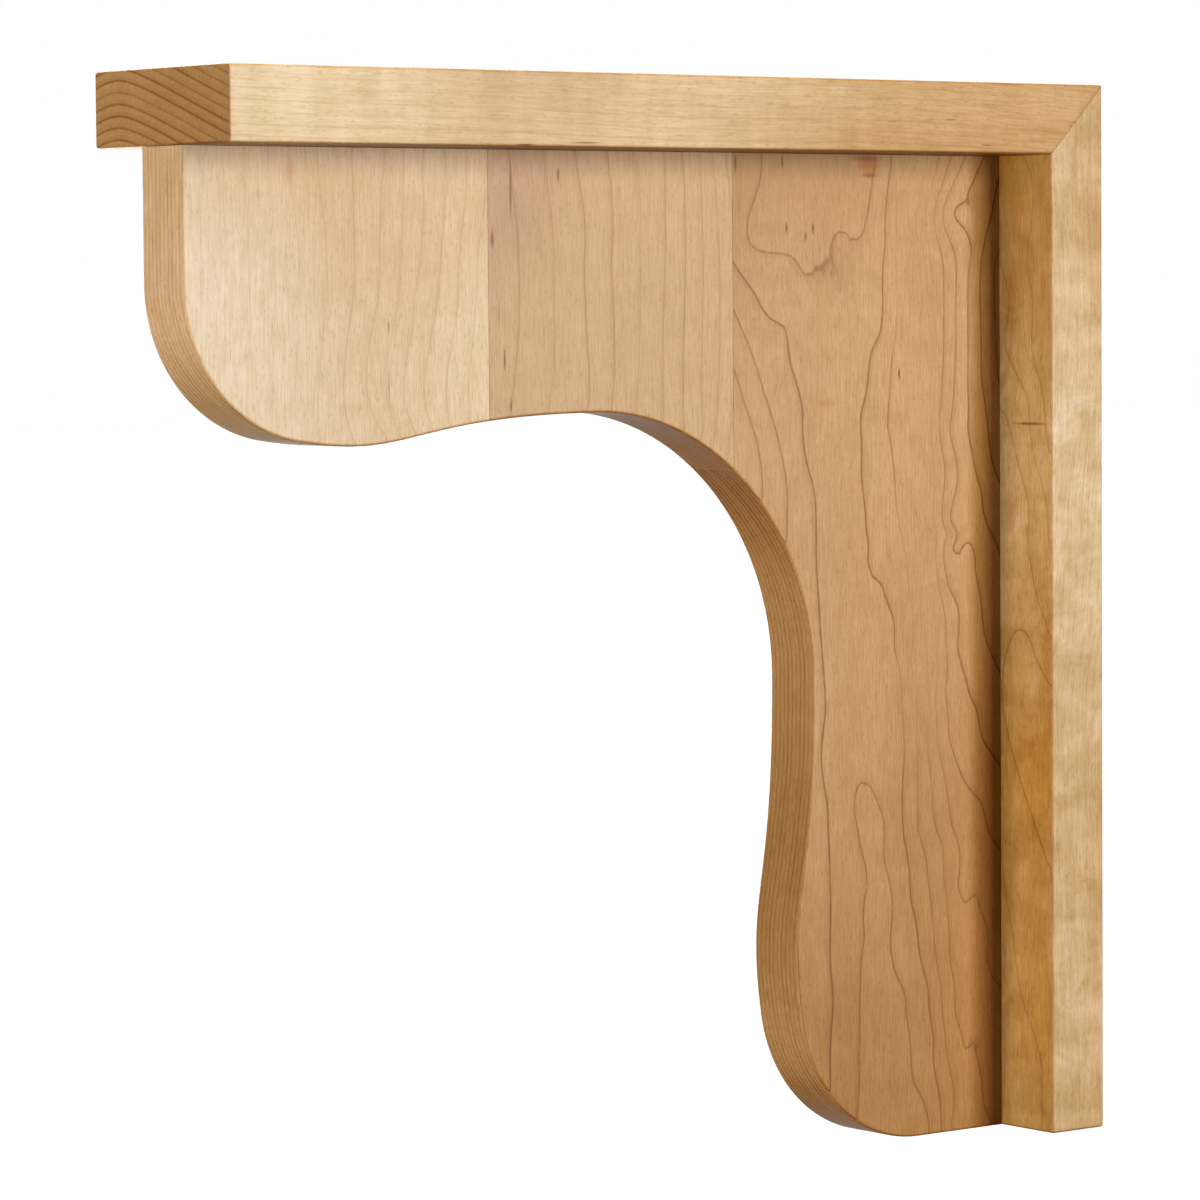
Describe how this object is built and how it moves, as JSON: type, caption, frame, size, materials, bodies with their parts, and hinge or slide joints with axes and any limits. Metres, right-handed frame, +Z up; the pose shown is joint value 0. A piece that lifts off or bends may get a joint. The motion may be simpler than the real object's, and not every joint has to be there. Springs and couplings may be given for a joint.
{
  "type": "corbel bracket",
  "caption": "Wooden shelf corbel: a mitred L of two flat boards over a central web sawn to a scroll, with a clear satin finish.",
  "frame": {"origin": "middle of the flat face that goes against the wall, half way up and half way across", "axes": "+X into the wall, out of the back board's wall face; the bracket stands out towards -X; +Z up; Y across its width"},
  "size_m": [0.3048, 0.0636, 0.3048],
  "materials": {
    "maple_board_pale": "satin clear lacquer",
    "maple_board_curly": "satin clear lacquer",
    "maple_stave_pale": "satin clear lacquer",
    "maple_stave_straight": "satin clear lacquer",
    "maple_stave_flat_sawn": "satin clear lacquer"
  },
  "bodies": {
    "root": {"top_board": "maple_board_pale", "back_board": "maple_board_curly", "web_front_stave": "maple_stave_pale", "web_middle_stave": "maple_stave_straight", "web_back_stave": "maple_stave_flat_sawn"}
  },
  "joints": []
}
